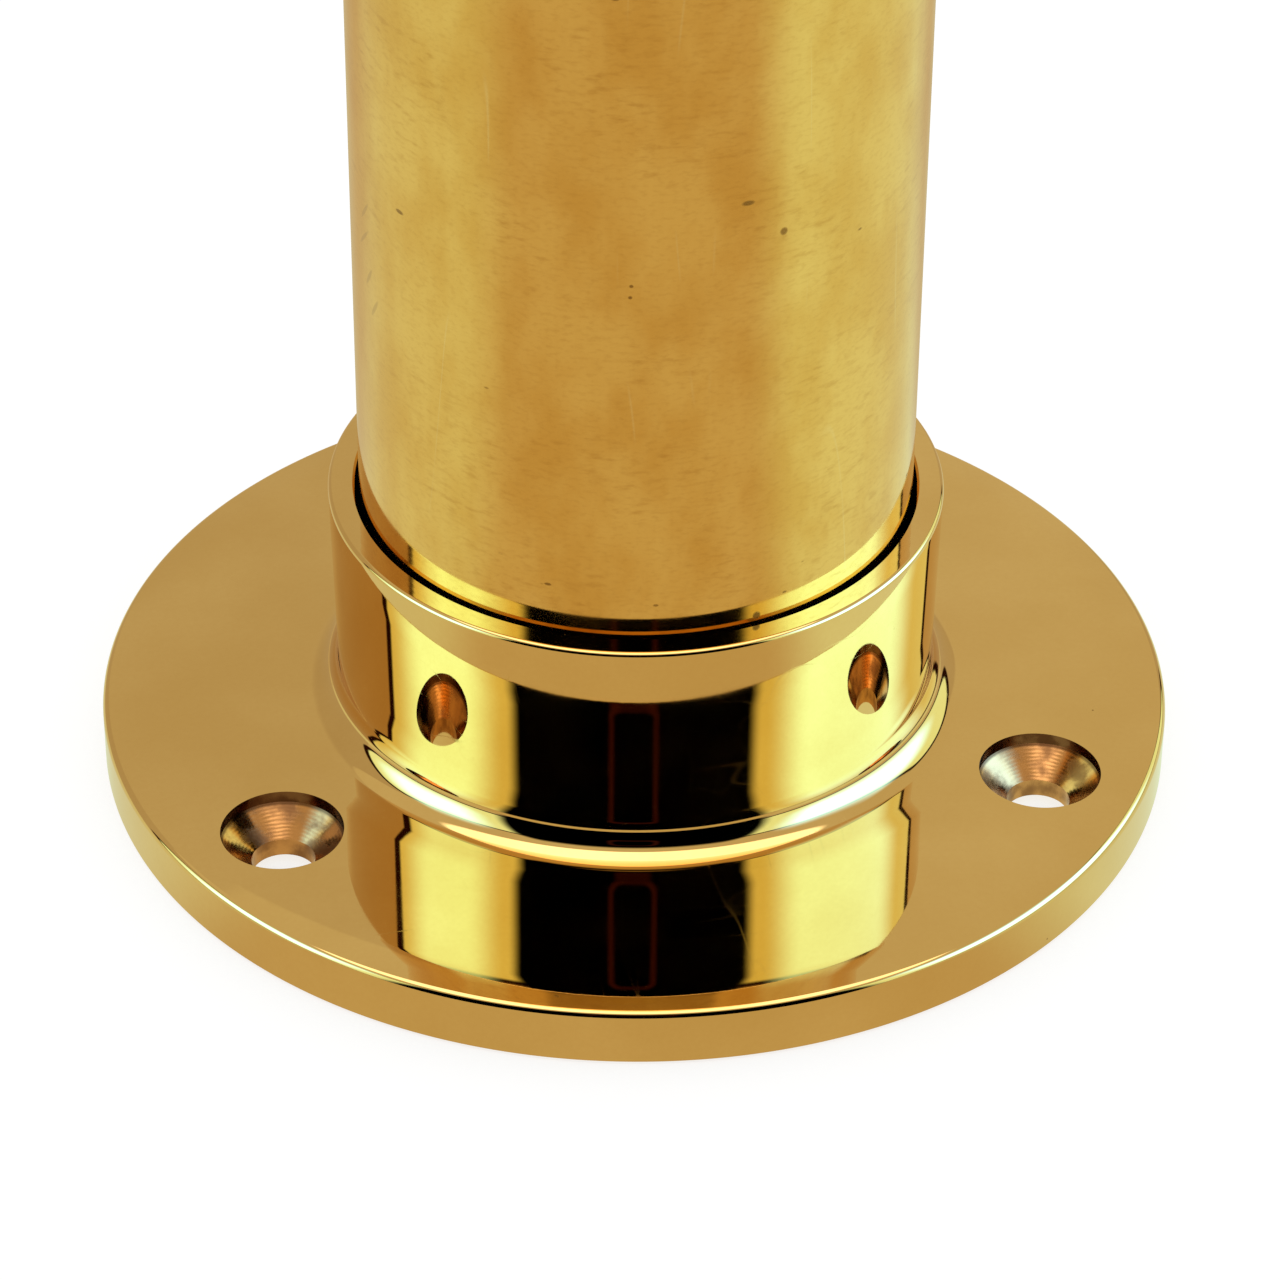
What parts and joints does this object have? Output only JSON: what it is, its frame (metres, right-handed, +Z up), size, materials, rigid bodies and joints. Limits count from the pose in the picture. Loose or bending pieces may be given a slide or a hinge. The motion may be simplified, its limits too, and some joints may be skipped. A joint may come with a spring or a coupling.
{
  "type": "stanchion base",
  "caption": "Round brass deck flange with a raised collar that holds an upright tube, locked by one grub screw at the rear, and countersunk deck screw holes.",
  "frame": {"origin": "centre of the underside, on the axis of the tube, in the plane of the deck", "axes": "+Z up along the tube; -Y is the front, midway between two of the deck screw holes, with the third hole on +Y"},
  "size_m": [0.1, 0.1, 0.12],
  "materials": {
    "polished_brass": "mirror polished",
    "drawn_brass": "polished, lightly scratched and stained",
    "screw_brass": "turned, slightly dulled"
  },
  "bodies": {
    "base": {"base_flange": "polished_brass"},
    "tube": {"stanchion_tube": "drawn_brass"},
    "screw": {"grub_screw": "screw_brass"}
  },
  "joints": [
    {"name": "tube_lift", "type": "slide", "parent": "base", "child": "tube", "axis": [0, 0, 1], "range_m": [0, 0.025]},
    {"name": "back_out_screw", "type": "slide", "parent": "base", "child": "screw", "axis": [-0.866, 0.5, 0], "range_m": [0, 0.004]}
  ]
}
